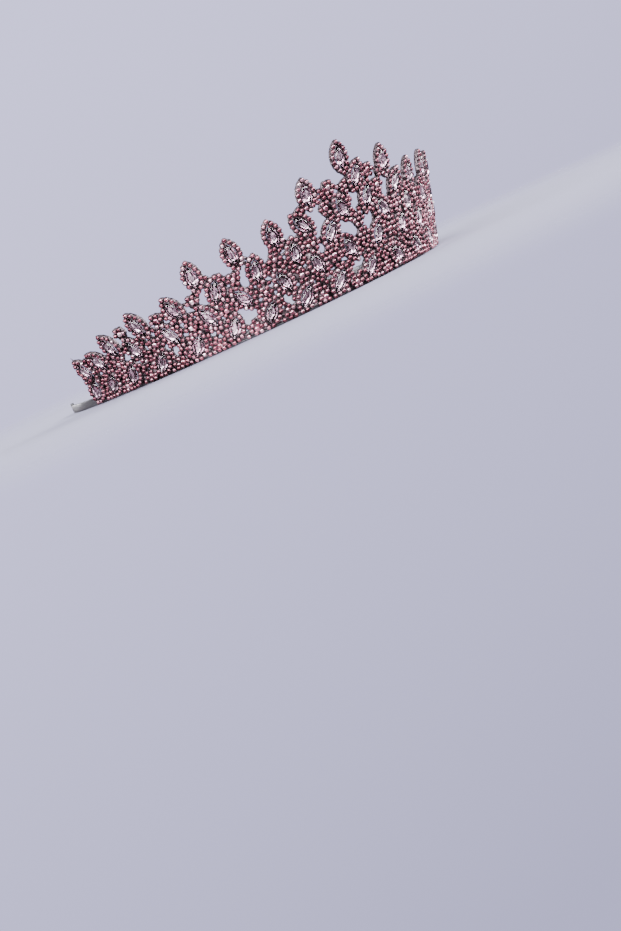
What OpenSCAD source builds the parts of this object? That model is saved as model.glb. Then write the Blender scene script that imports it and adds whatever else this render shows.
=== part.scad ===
// A bridal crown: a springy metal strip that carries a flaring, openwork wall of
// marquise settings, round clusters and short strands, with a cut stone in each setting.
// The wearer faces -Y, +X is the wearer's left, and the crown stands on its strip at Z = 0.
// A place on the wall is given by s, the distance along the strip from the centre of the
// front, and h, the distance up the slope of the wall from the strip's lower edge.

/* [Strip] */
// Height of the flat strip that the crown stands on
strip_height = 3; // [2.5:0.5:4]
// Thickness of the strip
strip_thick = 1; // [0.8:0.1:1.2]
// Radius of the rounded tip at each end of the strip
tip_radius = 1.8; // [1.6:0.1:2.2]
// Thickness of the rounded tips
tip_thick = 1.4; // [1.3:0.1:1.8]
// Radius of the eyelet through each tip
eyelet_radius = 0.7; // [0.5:0.1:0.8]
// Height of the two slotted tabs inside the strip
tab_height = 8; // [7:0.5:9]
// Width of the slotted tabs
tab_wide = 6; // [5:0.5:7]

/* [Wall] */
// Lean of the wall outward from upright, in degrees
flare = 16; // [10:1:18]
// Clearance between the strip and the back of the wall
wall_gap = 0.2; // [0.15:0.05:0.4]
// Thickness of the plates of the settings
plate_deep = 1.4; // [1.2:0.1:1.4]
// Thickness of the round plates
cluster_deep = 1.1; // [1:0.1:1.3]
// Thickness of a strand
strand_deep = 0.7; // [0.6:0.1:0.8]
// Width of a strand
strand_wide = 1.6; // [1.4:0.1:2]
// Radius of the round plate under a cluster of small stones
cluster_radius = 2.5; // [2.2:0.1:2.6]

/* [Settings] */
// Length of a marquise setting with the plate for its ring of small stones
setting_long = 12.4; // [12:0.1:12.6]
// Width of a marquise setting with that plate
setting_wide = 7.4; // [7:0.1:7.6]
// Length of the opening that a stone's back sits in
seat_long = 7.6; // [7.4:0.1:7.6]
// Width of that opening
seat_wide = 3.6; // [3.5:0.1:3.7]

/* [Stones] */
// Length of a marquise stone
stone_long = 8; // [7.6:0.1:8.2]
// Width of a marquise stone
stone_wide = 3.8; // [3.6:0.1:4]
// Radius of the round stone at the middle of a cluster
round_radius = 1.1; // [0.9:0.1:1.2]
// Clearance under a round stone
stone_gap = 0.1; // [0.1:0.05:0.2]

/* [Hidden] */
// Plan of the strip's outer face from the centre of the front to one end, as tangent arcs
RADIUS = 0;
TURN = 1;
ARCS = [
    [62, 40],
    [78, 22],
    [110, 14],
    [180, 6],
    [50, 36],
];
// From the middle of the crown's depth forward to the strip's outer face
front_y = -49.3;

// Settings that come in mirrored pairs: place, height and lean, outward from upright
NAME = 0;
S = 1;
H = 2;
LEAN = 3;
CREST_PAIRS = [
    ["crest_1", 15, 38, -2],
    ["crest_2", 19, 29.2, 36],
    ["crest_3", 28.5, 30, 3],
    ["crest_4", 41.5, 30.2, 2],
    ["crest_5", 55.3, 28.8, -3],
    ["crest_6", 66, 21, 20],
    ["crest_7", 80.4, 21.2, 17],
    ["crest_8", 94.8, 18.2, 20],
    ["crest_9", 103.3, 14.8, 37],
    ["crest_10", 111.8, 13.8, 27],
    ["inner_1", 5, 28.8, 20],
    ["inner_2", 11, 22.8, -34],
    ["inner_3", 24, 21.4, -5],
    ["inner_4", 37, 21.6, -12],
    ["inner_5", 51, 20.8, -22],
];
// The two settings that have no mirrored partner, on the crown's peak
PEAK = [
    ["peak", -1.3, 45, 0],
    ["peak_side", 2.6, 37.2, 30],
];
SECOND_PAIRS = [
    ["second", 6, 15, 20],
    ["second", 18.5, 14.8, 20],
    ["second", 30.5, 13.8, 17],
    ["second", 44, 14.6, 30],
    ["second", 57, 13.6, 24],
    ["second", 71.5, 13.4, 27],
    ["second", 86.5, 13.8, 18],
];
LOWER_PAIRS = [
    ["lower", 13, 5.7, -42],
    ["lower", 25.5, 5.7, -38],
    ["lower", 38, 5.9, -34],
    ["lower", 51, 6.3, -28],
    ["lower", 65, 5.8, -36],
    ["lower", 80, 5.8, -36],
    ["lower", 93.5, 6, -32],
    ["lower", 104, 5.8, -38],
    ["lower", 113.5, 5.8, -38],
];
LOWER_MIDDLE = [["lower", 0, 5.7, 40]];
// Clusters of small round stones, also in mirrored pairs
FOOT_CLUSTERS = [
    ["foot", 7, 2.8],
    ["foot", 19.5, 2.8],
    ["foot", 32, 2.8],
    ["foot", 44.6, 2.8],
    ["foot", 58.4, 2.8],
    ["foot", 73, 2.8],
    ["foot", 87, 2.8],
    ["foot", 98.8, 2.8],
];
UPPER_CLUSTERS = [
    ["upper", 12.2, 14.8],
    ["upper", 24.6, 13.2],
    ["upper", 37, 13],
    ["upper", 50.8, 13],
    ["upper", 64, 12.6],
    ["upper", 78.8, 12.6],
    ["upper", 96.3, 11.3],
    ["upper", 17.8, 21.6],
    ["upper", 30.6, 22.2],
    ["upper", 44.4, 22],
    ["upper", 59.2, 20.9],
    ["upper", 73.2, 20.2],
    ["upper", 88.1, 21.2],
    ["upper", 10.4, 31],
    ["upper", 7.8, 37.2],
];
// Widest gap that a strand bridges between two settings, or a setting and a cluster;
// pieces that overlap by more than the third value need no strand
setting_reach = 1.75;
cluster_reach = 0.9;
touching = -0.2;
// No two settings further apart than this are neighbours
neighbours = 13;
// How far inside a setting's edge a strand ends
rim_depth = 1;
// Distance of a strand from the wall's back
strand_low = 0.2;
// The foot wire's lower and upper edge, its two faces outward of the strip, how far it goes
// to each side and in how many straight lengths
foot_low = 0.6;
foot_high = 2;
foot_out = 1.4;
foot_in = 0.9;
foot_half = 112;
foot_steps = 14;
// Distance of a marquise stone's keel, girdle and table from the wall's back
keel_at = 0.5;
girdle_at = 1.7;
table_at = 2.6;
// Share of the stone's length and width that its keel and its table take
KEEL_SHARE = [0.45, 0.13];
TABLE_SHARE = [0.6, 0.56];
// Height of a round stone, and its table's share of its width
round_high = 0.8;
round_share = 0.6;
// Steps along each side of the pointed outlines
plate_points = 6;
stone_points = 4;
// The tabs stand this far along the strip, with a slot through each
tab_s = 90;
tab_thick = 0.8;
tab_low = 0.5;
slot_wide = 1.4;
slot_long = 3.6;
// Straight lengths in the plan of each half of the strip
strip_steps = 60;
// From the strip's end to the middle of its rounded tip
tip_reach = 1.2;
$fn = 48;

function arc_length(k) = ARCS[k][RADIUS] * ARCS[k][TURN] * PI / 180;
function arc_start(k) = k == 0 ? 0 : arc_start(k - 1) + arc_length(k - 1);
function start_heading(k) = k == 0 ? 0 : start_heading(k - 1) + ARCS[k - 1][TURN];
// Shift along an arc of radius r that turns from heading a to heading b
function shift(r, a, b) = r * [sin(b) - sin(a), cos(a) - cos(b)];
function start_point(k) =
    k == 0
        ? [0, front_y]
        : start_point(k - 1) + shift(ARCS[k - 1][RADIUS], start_heading(k - 1), start_heading(k));
function arc_at(s, k = 0) = k == len(ARCS) - 1 || s < arc_start(k + 1) ? k : arc_at(s, k + 1);
function turned(s, k) = start_heading(k) + (s - arc_start(k)) / ARCS[k][RADIUS] * 180 / PI;
// Heading and place of the strip's outer face at a distance s from the centre of the front
function heading(s) = sign(s) * turned(abs(s), arc_at(abs(s)));
function plan(s) =
    let (k = arc_at(abs(s)), p = start_point(k) + shift(ARCS[k][RADIUS], start_heading(k), turned(abs(s), k)))
    [s < 0 ? -p.x : p.x, p.y];
strip_end = arc_start(len(ARCS) - 1) + arc_length(len(ARCS) - 1);

// Both settings of each mirrored pair, the right one first
function pairs(table) = [
    for (row = table, side = [-1, 1])
        [str(row[NAME], side < 0 ? "_right" : "_left"), side * row[S], row[H], side * row[LEAN]]
];
function one_side(table, side) = [for (row = table) [row[NAME], side * row[S], row[H], 0]];
MAIN_STONES = concat(PEAK, pairs(CREST_PAIRS));
SECOND_ROW = pairs(SECOND_PAIRS);
LOWER_ROW = concat(LOWER_MIDDLE, pairs(LOWER_PAIRS));
SETTINGS = concat(MAIN_STONES, SECOND_ROW, LOWER_ROW);
UPPER = concat(one_side(UPPER_CLUSTERS, -1), one_side(UPPER_CLUSTERS, 1));
FOOT = concat(one_side(FOOT_CLUSTERS, -1), one_side(FOOT_CLUSTERS, 1));
// A place in space d in front of the wall's back, and the straight distance of two pieces
function in_space(s, h, d = 0) =
    let (out = wall_gap + h * sin(flare) + d * cos(flare))
    [plan(s).x + out * sin(heading(s)), plan(s).y - out * cos(heading(s)), h * cos(flare) - d * sin(flare)];
function apart(a, b) = norm(in_space(a[S], a[H]) - in_space(b[S], b[H]));

// A pointed outline of two equal arcs, its points on +Y and -Y, n steps to each side
function pointed(long, wide, n) =
    let (
        a = long / 2,
        b = wide / 2,
        r = (a * a + b * b) / (2 * b),
        half = asin(a / r)
    )
    [
        for (side = [1, -1], i = [0:n - 1])
            let (t = half * (2 * i / n - 1))
            side * [r * cos(t) - (r - b), r * sin(t)]
    ];

// Puts its children on the wall: X along the strip, Y up the wall and Z outward
module on_wall(s, h, lean = 0) {
    translate([plan(s).x, plan(s).y, 0])
        rotate([0, 0, heading(s)])
            translate([0, -wall_gap, 0])
                rotate([flare, 0, 0])
                    translate([0, 0, h])
                        rotate([90, 0, 0])
                            rotate([0, 0, -lean])
                                children();
}

// Plan of a band that follows the strip: its two faces at distances inward of the strip's
// outer face, from -half to half along it, in n straight lengths to each side
function beside(s, in) = plan(s) + in * [-sin(heading(s)), cos(heading(s))];
module band_plan(half, n, out, in) {
    stops = [for (i = [-n:n]) i * half / n];
    last = len(stops) - 1;
    polygon(concat(
        [for (s = stops) beside(s, out)],
        [for (i = [0:last]) beside(stops[last - i], in)]
    ));
}

// Puts its children at a place inside the strip: X along it, Y inward and Z up
module inside_strip(s) {
    translate([plan(s).x, plan(s).y, 0])
        rotate([0, 0, heading(s)])
            translate([0, strip_thick / 2, 0])
                children();
}

// Rounded tip beyond the strip's end
module tip() {
    inside_strip(strip_end)
        translate([tip_reach, tip_thick / 2, tip_radius])
            rotate([90, 0, 0])
                cylinder(r = tip_radius, h = tip_thick);
}

module eyelet() {
    inside_strip(strip_end)
        translate([tip_reach, tip_thick, tip_radius])
            rotate([90, 0, 0])
                cylinder(r = eyelet_radius, h = 2 * tip_thick);
}

// Upright oval tab with a slot, for a hairgrip or a ribbon
module tab() {
    inside_strip(tab_s)
        translate([0, tab_thick, 0])
            rotate([90, 0, 0])
                linear_extrude(tab_thick)
                    difference() {
                        union() {
                            translate([0, tab_height - tab_wide / 2]) circle(d = tab_wide);
                            translate([-tab_wide / 2, tab_low])
                                square([tab_wide, tab_height - tab_wide / 2 - tab_low]);
                        }
                        translate([0, tab_height - tab_wide / 2]) {
                            for (end = [-1, 1])
                                translate([0, end * (slot_long - slot_wide) / 2]) circle(d = slot_wide);
                            square([slot_wide, slot_long - slot_wide], center = true);
                        }
                    }
}

module end_pieces() {
    tip();
    tab();
}

// The springy strip with its tips and tabs, one solid
module headband() {
    color("slategray")
        difference() {
            union() {
                linear_extrude(strip_height) band_plan(strip_end, strip_steps, 0, strip_thick);
                end_pieces();
                mirror([1, 0, 0]) end_pieces();
            }
            eyelet();
            mirror([1, 0, 0]) eyelet();
        }
}

// Flat plate in the shape of one setting
module setting_plate(row) {
    on_wall(row[S], row[H], row[LEAN])
        linear_extrude(plate_deep)
            polygon(pointed(setting_long, setting_wide, plate_points));
}

// Opening through a setting, which the stone's back sits in
module setting_seat(row) {
    on_wall(row[S], row[H], row[LEAN])
        translate([0, 0, -plate_deep])
            linear_extrude(3 * plate_deep)
                polygon(pointed(seat_long, seat_wide, stone_points));
}

module cluster_plate(row) {
    on_wall(row[S], row[H])
        linear_extrude(cluster_deep)
            circle(r = cluster_radius, $fn = 6);
}

// Distance from the middle of a setting to its pointed edge on the way to another piece
function edge_toward(a, b) =
    let (
        rise = b[H] - a[H],
        along = sign(b[S] - a[S]) * sqrt(max(0, pow(apart(a, b), 2) - rise * rise)),
        half = setting_wide / 2,
        r = (setting_long * setting_long / 4 + half * half) / (2 * half),
        off = r - half,
        side = abs(sin(atan2(along, rise) - a[LEAN])) * off
    )
    sqrt(side * side + r * r - off * off) - side;
// Place in the rim of a setting where a strand toward b ends
function rim_place(a, b) =
    let (share = (edge_toward(a, b) - rim_depth) / apart(a, b))
    [a[S] + share * (b[S] - a[S]), a[H] + share * (b[H] - a[H])];
// Open distance between the edges of two settings, and of a setting and a cluster
function settings_gap(a, b) = apart(a, b) - edge_toward(a, b) - edge_toward(b, a);
function cluster_gap(a, b) = apart(a, b) - edge_toward(a, b) - cluster_radius;

// Straight strand between two places on the wall, a bar with eight corners
BAR_FACES = [[0, 2, 6, 4], [1, 5, 7, 3], [0, 1, 3, 2], [4, 6, 7, 5], [0, 4, 5, 1], [2, 3, 7, 6]];
module strand(a, b) {
    turn = atan2(b.x - a.x, b.y - a.y);
    side = strand_wide / 2 * [cos(turn), -sin(turn)];
    corners = [
        for (place = [a, b], way = [-1, 1], level = [strand_low, strand_low + strand_deep])
            let (p = place + way * side) in_space(p.x, p.y, level)
    ];
    hull() polyhedron(corners, BAR_FACES);
}

// Wire along the wall's foot
module foot_wire() {
    translate([0, 0, foot_low])
        linear_extrude(foot_high - foot_low)
            band_plan(foot_half, foot_steps, -foot_out, -foot_in);
}

// All the soldered metal of the wall, one solid
module setting_frame() {
    color("dimgray")
        difference() {
            union() {
                for (row = SETTINGS) setting_plate(row);
                for (row = concat(UPPER, FOOT)) cluster_plate(row);
                for (i = [0:len(SETTINGS) - 2])
                    for (j = [i + 1:len(SETTINGS) - 1])
                        let (a = SETTINGS[i], b = SETTINGS[j], gap = settings_gap(a, b))
                            if (apart(a, b) < neighbours && gap > touching && gap < setting_reach)
                                strand(rim_place(a, b), rim_place(b, a));
                for (a = SETTINGS, b = UPPER)
                    let (gap = cluster_gap(a, b))
                        if (gap > touching && gap < cluster_reach)
                            strand(rim_place(a, b), [b[S], b[H]]);
                foot_wire();
            }
            for (row = SETTINGS) setting_seat(row);
        }
}

// The marquise cut: a keel, a girdle and a table, with a row of flat facets between each two
module marquise(row) {
    rings = [
        [keel_at, stone_long * KEEL_SHARE[0], stone_wide * KEEL_SHARE[1]],
        [girdle_at, stone_long, stone_wide],
        [table_at, stone_long * TABLE_SHARE[0], stone_wide * TABLE_SHARE[1]],
    ];
    n = 2 * stone_points;
    points = [
        for (ring = rings)
            for (p = pointed(ring[1], ring[2], stone_points)) [p.x, p.y, ring[0]]
    ];
    top = n * (len(rings) - 1);
    sides = [
        for (k = [0:len(rings) - 2], i = [0:n - 1])
            let (a = k * n + i, b = k * n + (i + 1) % n)
            each [[a, a + n, b + n], [a, b + n, b]]
    ];
    back = [for (i = [1:n - 2]) [0, i, i + 1]];
    front = [for (i = [1:n - 2]) [top, top + i + 1, top + i]];
    on_wall(row[S], row[H], row[LEAN])
        polyhedron(points, concat(back, sides, front));
}

module main_stone(row) {
    color("lightpink") marquise(row);
}

module second_row_stones() {
    color("lightpink")
        for (row = SECOND_ROW) marquise(row);
}

module lower_row_stones() {
    color("lightpink")
        for (row = LOWER_ROW) marquise(row);
}

// Round stones at the middles of the clusters on one side, each with a table and eight facets
module round_stones(side) {
    color("palevioletred")
        for (row = concat(one_side(UPPER_CLUSTERS, side), one_side(FOOT_CLUSTERS, side)))
            on_wall(row[S], row[H])
                translate([0, 0, cluster_deep + stone_gap])
                    cylinder(r1 = round_radius, r2 = round_radius * round_share, h = round_high, $fn = 8);
}

function stone_node(row) = str(row[NAME], "_stone");

headband();
setting_frame();
second_row_stones();
lower_row_stones();
round_stones(-1);  // round_stones_right
round_stones(1);  // round_stones_left
for (row = MAIN_STONES) main_stone(row);
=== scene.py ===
# %% [markdown]
# # A bridal crown of rose stones
# The crown is a springy metal strip that carries a flaring, openwork wall. The wall is made
# of pointed "marquise" settings: each holds one long pale stone in a ring of small round
# rose stones in cups, and small clusters fill the places between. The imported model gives
# the metal and the main stones at their real sizes. This lesson dresses it: finer cuts for
# the stones, the rings of small stones in their cups, a smooth strip, and the finishes.

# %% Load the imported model
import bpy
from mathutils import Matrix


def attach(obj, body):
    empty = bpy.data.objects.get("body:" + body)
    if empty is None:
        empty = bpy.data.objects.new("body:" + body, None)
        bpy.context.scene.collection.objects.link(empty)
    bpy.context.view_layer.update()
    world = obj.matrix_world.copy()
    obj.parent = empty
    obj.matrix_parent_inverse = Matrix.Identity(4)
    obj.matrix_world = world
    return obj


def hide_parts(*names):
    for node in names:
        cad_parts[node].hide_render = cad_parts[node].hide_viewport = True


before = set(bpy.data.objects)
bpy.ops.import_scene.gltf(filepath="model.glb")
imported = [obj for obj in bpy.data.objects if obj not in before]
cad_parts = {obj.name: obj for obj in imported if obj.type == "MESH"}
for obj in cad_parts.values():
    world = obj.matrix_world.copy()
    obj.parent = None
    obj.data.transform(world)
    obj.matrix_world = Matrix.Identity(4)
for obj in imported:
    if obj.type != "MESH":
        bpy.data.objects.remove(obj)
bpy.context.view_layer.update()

# %% [markdown]
# ## The camera
# The picture is taken from in front of the wearer's right temple, with the camera rolled,
# so that the crown climbs from lower left to upper right. The crown here stands on a floor,
# so the camera is as low as the floor allows. The image is 621 by 931 pixels, and the focal
# length is given in those pixels.

# %% Camera
import math

import bpy
import numpy as np
from mathutils import Matrix, Vector

MM = 0.001
FRONT_Y = -49.3
PICTURE_TALL = 931
FOCAL_PIXELS = 2200
SENSOR_LONG_SIDE = 36
NEAR_CLIP = 0.01
CAMERA_AZIMUTH = math.radians(-33.4)
CAMERA_ELEVATION = math.radians(6)
CAMERA_ROLL = math.radians(-25)
CAMERA_DISTANCE = 757
CAMERA_SIDEWAYS = -21.3
CAMERA_UP = -63.5

toward_x, toward_y = math.sin(CAMERA_AZIMUTH), -math.cos(CAMERA_AZIMUTH)
level_share = math.cos(CAMERA_ELEVATION)
back = Vector((toward_x * level_share, toward_y * level_share, math.sin(CAMERA_ELEVATION)))
level_arrow = Vector((-toward_y, toward_x, 0))
picture_right = (Matrix.Rotation(CAMERA_ROLL, 3, back) @ level_arrow).normalized()
picture_up = back.cross(picture_right)
aim = Vector((0, FRONT_Y, 0)) + CAMERA_SIDEWAYS * picture_right + CAMERA_UP * picture_up
camera_place = aim + CAMERA_DISTANCE * back
camera_turn = Matrix((picture_right, picture_up, back)).transposed().to_4x4()


def put_in_scene(name, data):
    """A new object in the scene."""
    made = bpy.data.objects.new(name, data)
    bpy.context.scene.collection.objects.link(made)
    return made


camera_data = bpy.data.cameras.new("camera")
camera_data.sensor_width = SENSOR_LONG_SIDE
camera_data.lens = FOCAL_PIXELS * SENSOR_LONG_SIDE / PICTURE_TALL
camera_data.clip_start = NEAR_CLIP
camera = put_in_scene("camera", camera_data)
camera.matrix_world = Matrix.Translation(camera_place * MM) @ camera_turn
bpy.context.scene.camera = camera
print("camera at", [round(v, 1) for v in camera_place], "mm, lens", round(camera_data.lens, 1))

# %% [markdown]
# ## Places on the wall
# Every piece sits on the wall, so two numbers place it: s, the distance along the strip
# from the centre of the front, and h, the distance up the wall's slope. The strip's plan is
# a chain of tangent arcs.

# %% The strip's plan
ARC_RADIUS = np.array([62, 78, 110, 180, 50])
ARC_TURN = np.radians([40, 22, 14, 6, 36])
ARC_START = np.concatenate([[0], np.cumsum(ARC_RADIUS * ARC_TURN)])
START_HEADING = np.concatenate([[0], np.cumsum(ARC_TURN)])
STRIP_END = ARC_START[-1]


def arc_shift(radius, start, end):
    """How far a point moves along an arc whose heading goes from start to end: radius times
    (sin end - sin start, cos start - cos end)."""
    return np.array([radius * (np.sin(end) - np.sin(start)), radius * (np.cos(start) - np.cos(end))])


arc_steps = arc_shift(ARC_RADIUS, START_HEADING[:-1], START_HEADING[1:]).T
START_POINT = np.vstack([np.zeros(2), np.cumsum(arc_steps, axis=0)]) + [0, FRONT_Y]


def strip_plan(s):
    """x, y and heading of the strip's outer face: find the arc that s falls on, then turn
    along it. The left half mirrors the right half."""
    far = np.abs(s)
    k = np.clip(np.searchsorted(ARC_START, far, side="right") - 1, 0, len(ARC_RADIUS) - 1)
    heading = START_HEADING[k] + (far - ARC_START[k]) / ARC_RADIUS[k]
    x, y = START_POINT[k].T + arc_shift(ARC_RADIUS[k], START_HEADING[k], heading)
    side = np.where(np.asarray(s) < 0, -1.0, 1.0)
    return side * x, y, side * heading


print("half the strip is", round(float(STRIP_END), 1), "mm long")

# %% The flaring wall
FLARE = math.radians(16)
WALL_GAP = 0.2
UPRIGHT = np.array([0, 0, 1.0])


def level_axes(s):
    """The strip's outer face on the floor, and unit arrows along the strip and out of it."""
    x, y, heading = strip_plan(s)
    flat = np.zeros_like(heading)
    along = np.stack([np.cos(heading), np.sin(heading), flat], -1)
    outward = np.stack([np.sin(heading), -np.cos(heading), flat], -1)
    return np.stack([x, y, flat], -1), along, outward


def wall_axes(s):
    """Unit arrows along the strip, up the wall's slope and out of the wall."""
    _, along, outward = level_axes(s)
    slope = math.sin(FLARE) * outward + math.cos(FLARE) * UPRIGHT
    face = math.cos(FLARE) * outward - math.sin(FLARE) * UPRIGHT
    return along, slope, face


def wall_place(s, h, d=0.0):
    """A place in mm: the strip's outer face at s, plus the gap outward, plus h up the slope,
    plus d out of the wall."""
    s, h, d = np.broadcast_arrays(np.asarray(s, float), h, d)
    strip_face, _, outward = level_axes(s)
    _, slope, face = wall_axes(s)
    return strip_face + WALL_GAP * outward + h[..., None] * slope + d[..., None] * face


print("foot of the wall at the front", wall_place(0.0, 0.0).round(1))

# %% [markdown]
# ## The table of settings
# The same table as in the model: place s, height h, and lean, which is outward from upright
# in degrees. Most settings come in mirrored pairs. Two stand alone at the peak, and one
# leans in the middle of the lower row. The clusters of round stones have no lean. Two small
# clusters below the peak have only small stones, so they are in this table alone.

# %% Settings
CREST_PAIRS = {
    "crest_1": (15, 38, -2), "crest_2": (19, 29.2, 36), "crest_3": (28.5, 30, 3),
    "crest_4": (41.5, 30.2, 2), "crest_5": (55.3, 28.8, -3), "crest_6": (66, 21, 20),
    "crest_7": (80.4, 21.2, 17), "crest_8": (94.8, 18.2, 20), "crest_9": (103.3, 14.8, 37),
    "crest_10": (111.8, 13.8, 27), "inner_1": (5, 28.8, 20), "inner_2": (11, 22.8, -34),
    "inner_3": (24, 21.4, -5), "inner_4": (37, 21.6, -12), "inner_5": (51, 20.8, -22),
}
PEAK = {"peak": (-1.3, 45, 0), "peak_side": (2.6, 37.2, 30)}
SECOND_PAIRS = [
    (6, 15, 20), (18.5, 14.8, 20), (30.5, 13.8, 17), (44, 14.6, 30), (57, 13.6, 24),
    (71.5, 13.4, 27), (86.5, 13.8, 18),
]
LOWER_PAIRS = [
    (13, 5.7, -42), (25.5, 5.7, -38), (38, 5.9, -34), (51, 6.3, -28), (65, 5.8, -36),
    (80, 5.8, -36), (93.5, 6, -32), (104, 5.8, -38), (113.5, 5.8, -38),
]
LOWER_MIDDLE = (0, 5.7, 40)
UPPER_CLUSTERS = [
    (12.2, 14.8), (24.6, 13.2), (37, 13), (50.8, 13), (64, 12.6), (78.8, 12.6), (96.3, 11.3),
    (17.8, 21.6), (30.6, 22.2), (44.4, 22), (59.2, 20.9), (73.2, 20.2), (88.1, 21.2),
    (10.4, 31), (7.8, 37.2),
]
FOOT_CLUSTER_H = 2.8
FOOT_CLUSTERS = [(s, FOOT_CLUSTER_H) for s in (7, 19.5, 32, 44.6, 58.4, 73, 87, 98.8)]
SMALL_CLUSTERS = [(-0.4, 22.8), (0.4, 17.4)]


def both_sides(rows):
    """The right and the left one of each mirrored pair: s and lean change sign."""
    rows = np.array(rows, float)
    flip = np.array([-1, 1, -1])[: rows.shape[1]]
    return np.stack([rows * flip, rows], axis=1).reshape(-1, rows.shape[1])


main_names = list(PEAK) + [f"{name}_{side}" for name in CREST_PAIRS for side in ("right", "left")]
main_rows = np.vstack([list(PEAK.values()), both_sides(list(CREST_PAIRS.values()))])
second_rows = both_sides(SECOND_PAIRS)
lower_rows = np.vstack([[LOWER_MIDDLE], both_sides(LOWER_PAIRS)])
settings = np.vstack([main_rows, second_rows, lower_rows])
clusters = np.vstack([both_sides(UPPER_CLUSTERS), both_sides(FOOT_CLUSTERS)])
small_clusters = np.array(SMALL_CLUSTERS)
print(len(settings), "marquise settings and", len(clusters), "clusters")

# %% Own axes of each setting


def setting_axes(rows):
    """Each setting's middle, and its arrows across, along its length and out of the wall:
    the wall's own arrows, turned by the lean."""
    s, h, lean = rows[:, 0], rows[:, 1], np.radians(rows[:, 2])[:, None]
    along, slope, face = wall_axes(s)
    across = np.cos(lean) * along - np.sin(lean) * slope
    length = np.sin(lean) * along + np.cos(lean) * slope
    return wall_place(s, h), np.stack([across, length, face], axis=1)


def upright_axes(rows):
    """The same for clusters, whose lean is zero."""
    return setting_axes(np.column_stack([rows, np.zeros(len(rows))]))


middles, axes = setting_axes(settings)
cluster_middles, cluster_axes = upright_axes(clusters)
print("highest setting's middle", middles[:, 2].max().round(1), "mm up")

# %% [markdown]
# ## From arrays to meshes
# A shape that comes back many times, such as a cup, is worked out once as a template: its
# points, and its faces as one long row of corners with the number of corners of each face.
# Stamping moves all the points of the template to all its places in one sum, and
# foreach_set hands the arrays to Blender.

# %% Rings and the faces between them


def arc_radius(long, wide):
    """Radius R of both arcs of a pointed outline with half length a and half width b:
    (a^2 + b^2) / 2b."""
    a, b = long / 2, wide / 2
    return (a * a + b * b) / (2 * b)


def pointed_ring(long, wide, n, ahead=0):
    """Points round a pointed outline, counterclockwise from the lower point and moved ahead
    by a share of a step: x = R cos t - (R - b), y = R sin t, then its half turn."""
    radius = arc_radius(long, wide)
    half = math.asin(long / 2 / radius)
    t = half * (2 * (np.arange(n) + ahead) / n - 1)
    side = np.stack([radius * np.cos(t) - (radius - wide / 2), radius * np.sin(t)], -1)
    return np.vstack([side, -side])


def round_ring(radius, n, ahead=0):
    """Points round a circle at equal angles, moved ahead by a share of a step."""
    angle = 2 * np.pi * (np.arange(n) + ahead) / n
    return radius * np.stack([np.cos(angle), np.sin(angle)], -1)


def lengths(arrows):
    """The length of each arrow."""
    return np.linalg.norm(arrows, axis=1)


def unit(arrows):
    """The same arrows with length one."""
    return arrows / lengths(arrows)[:, None]


def at_height(ring, z):
    """A flat ring of points, lifted to the height z."""
    return np.column_stack([ring, np.full(len(ring), float(z))])


def straight_band(start, n, until=None):
    """Four-sided faces between ring number start and the next ring of n points, or another
    ring, so that the last band of a hollow shape can close on the first ring."""
    i = np.arange(n)
    low, high, step = start * n, (start + 1 if until is None else until) * n, (i + 1) % n
    return np.stack([low + i, low + step, high + step, high + i], -1)


def facet_band(start, n, leads=False):
    """Triangles between a ring and the next ring, which is turned by half a step: first one
    on each lower edge, then one on each upper edge. leads says that the lower ring is the
    one that is half a step ahead."""
    i = np.arange(n)
    low, high, step = start * n, (start + 1) * n, (i + 1) % n
    above, below = (step, i) if leads else (i, step)
    on_lower_edges = np.stack([low + i, low + step, high + above], -1)
    on_upper_edges = np.stack([low + below, high + step, high + i], -1)
    return np.vstack([on_lower_edges, on_upper_edges])


def cap(start, n, down=False):
    """One flat face on a ring."""
    corners = start * n + np.arange(n)
    return (corners[::-1] if down else corners)[None]


print("rings and bands ready")

# %% Templates


def template(rings, faces):
    """The points, the row of corners and the number of corners of each face."""
    corners = np.concatenate([block.ravel() for block in faces])
    sizes = np.concatenate([np.full(len(block), block.shape[1]) for block in faces])
    return np.vstack(rings), corners, sizes


def closed_tube(rings):
    """A template with straight bands between its rings and a flat face at both ends."""
    n, last = len(rings[0]), len(rings) - 1
    bands = [straight_band(k, n) for k in range(last)]
    return template(rings, [cap(0, n, down=True)] + bands + [cap(last, n)])


def hoop(rings):
    """A template with straight bands between its rings, the last one back to the first."""
    n, last = len(rings[0]), len(rings) - 1
    return template(rings, [straight_band(k, n) for k in range(last)] + [straight_band(last, n, until=0)])


def cut_shape(rings, leads):
    """A stone of four rings: a flat back, facets, a girdle, facets and a table. leads says
    that the ring of the back is half a step ahead of the next one."""
    n = len(rings[0])
    back, front = facet_band(0, n, leads), facet_band(2, n, not leads)
    return template(rings, [cap(0, n, down=True), back, straight_band(1, n), front, cap(3, n)])


def spread(points, places, turns):
    """Copies of some points: place + x times the first arrow + y times the second + z times
    the third, for every point and every place in one sum."""
    return (places[:, None] + np.einsum("pk,mkj->mpj", points, turns)).reshape(-1, 3)


def stamp(shape, places, turns):
    """A copy of a template at each place."""
    points, corners, sizes = shape
    shift = len(points) * np.arange(len(places))
    return spread(points, places, turns), (corners + shift[:, None]).ravel(), np.tile(sizes, len(places))


def merged(*shapes):
    """Several shapes as one, with the corners counted on."""
    points, corners, sizes = zip(*shapes)
    shift = np.cumsum([0] + [len(block) for block in points[:-1]])
    return np.vstack(points), np.concatenate([c + k for c, k in zip(corners, shift)]), np.concatenate(sizes)


print("templates ready")

# %% Pieces


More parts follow.
